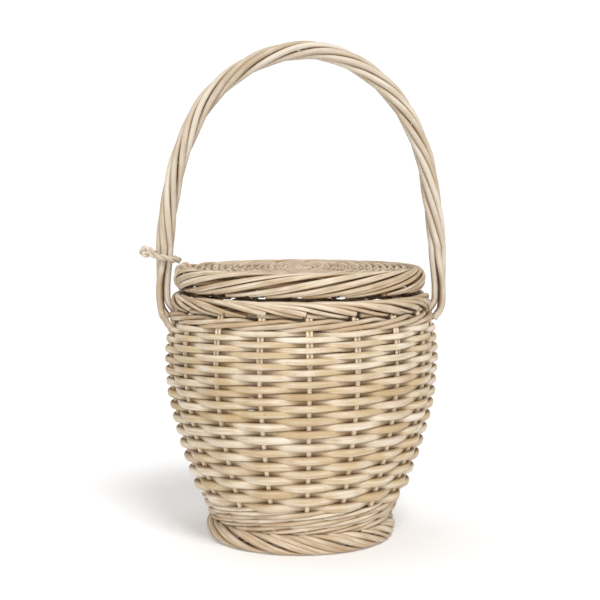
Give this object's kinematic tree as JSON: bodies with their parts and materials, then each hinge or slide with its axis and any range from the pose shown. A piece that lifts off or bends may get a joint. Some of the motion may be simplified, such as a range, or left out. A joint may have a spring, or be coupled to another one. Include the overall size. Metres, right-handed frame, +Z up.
{
  "type": "lidded willow market basket",
  "caption": "Round woven willow market basket with a flat woven lid tied to one leg of its tall roped handle.",
  "frame": {"origin": "middle of the ring that the foot border stands on, on the ground plane", "axes": "+Z up to the handle, +X towards the handle leg without the tie, so the handle lies in the XZ plane and the tie is at -X; -Y is the front"},
  "size_m": [0.2759, 0.2496, 0.4463],
  "materials": {
    "willow": "satin"
  },
  "bodies": {
    "basket": {"base_sticks_across": "willow", "base_sticks_along": "willow", "base_weave": "willow", "foot_border": "willow", "stake_01": "willow", "stake_02": "willow", "stake_03": "willow", "stake_04": "willow", "stake_05": "willow", "stake_06": "willow", "stake_07": "willow", "stake_08": "willow", "stake_09": "willow", "stake_10": "willow", "stake_11": "willow", "stake_12": "willow", "stake_13": "willow", "stake_14": "willow", "stake_15": "willow", "stake_16": "willow", "stake_17": "willow", "stake_18": "willow", "border_liners": "willow", "upset_wale_1": "willow", "upset_wale_2": "willow", "upset_wale_3": "willow", "upset_wale_4": "willow", "siding_lower": "willow", "siding_middle": "willow", "siding_upper": "willow", "top_wale_1": "willow", "top_wale_2": "willow", "rim_border": "willow", "handle_core": "willow", "handle_strand_1": "willow", "handle_strand_2": "willow", "handle_strand_3": "willow", "handle_strand_4": "willow", "handle_strand_5": "willow", "handle_strand_6": "willow"},
    "tie": {"tie_ring": "willow", "tie_knot": "willow"},
    "lid": {"lid_sticks_across": "willow", "lid_sticks_along": "willow", "lid_weave": "willow", "lid_border": "willow", "tie_wrap": "willow"}
  },
  "joints": [
    {"name": "lid_swing", "type": "hinge", "parent": "basket", "child": "tie", "pos_m": [-0.1235, 0, 0.2534], "axis": [0, 0, 1], "range_deg": [-60, 60]},
    {"name": "lid_tilt", "type": "hinge", "parent": "tie", "child": "lid", "pos_m": [-0.105, 0, 0.2352], "axis": [0, -1, 0], "range_deg": [0, 50]}
  ]
}
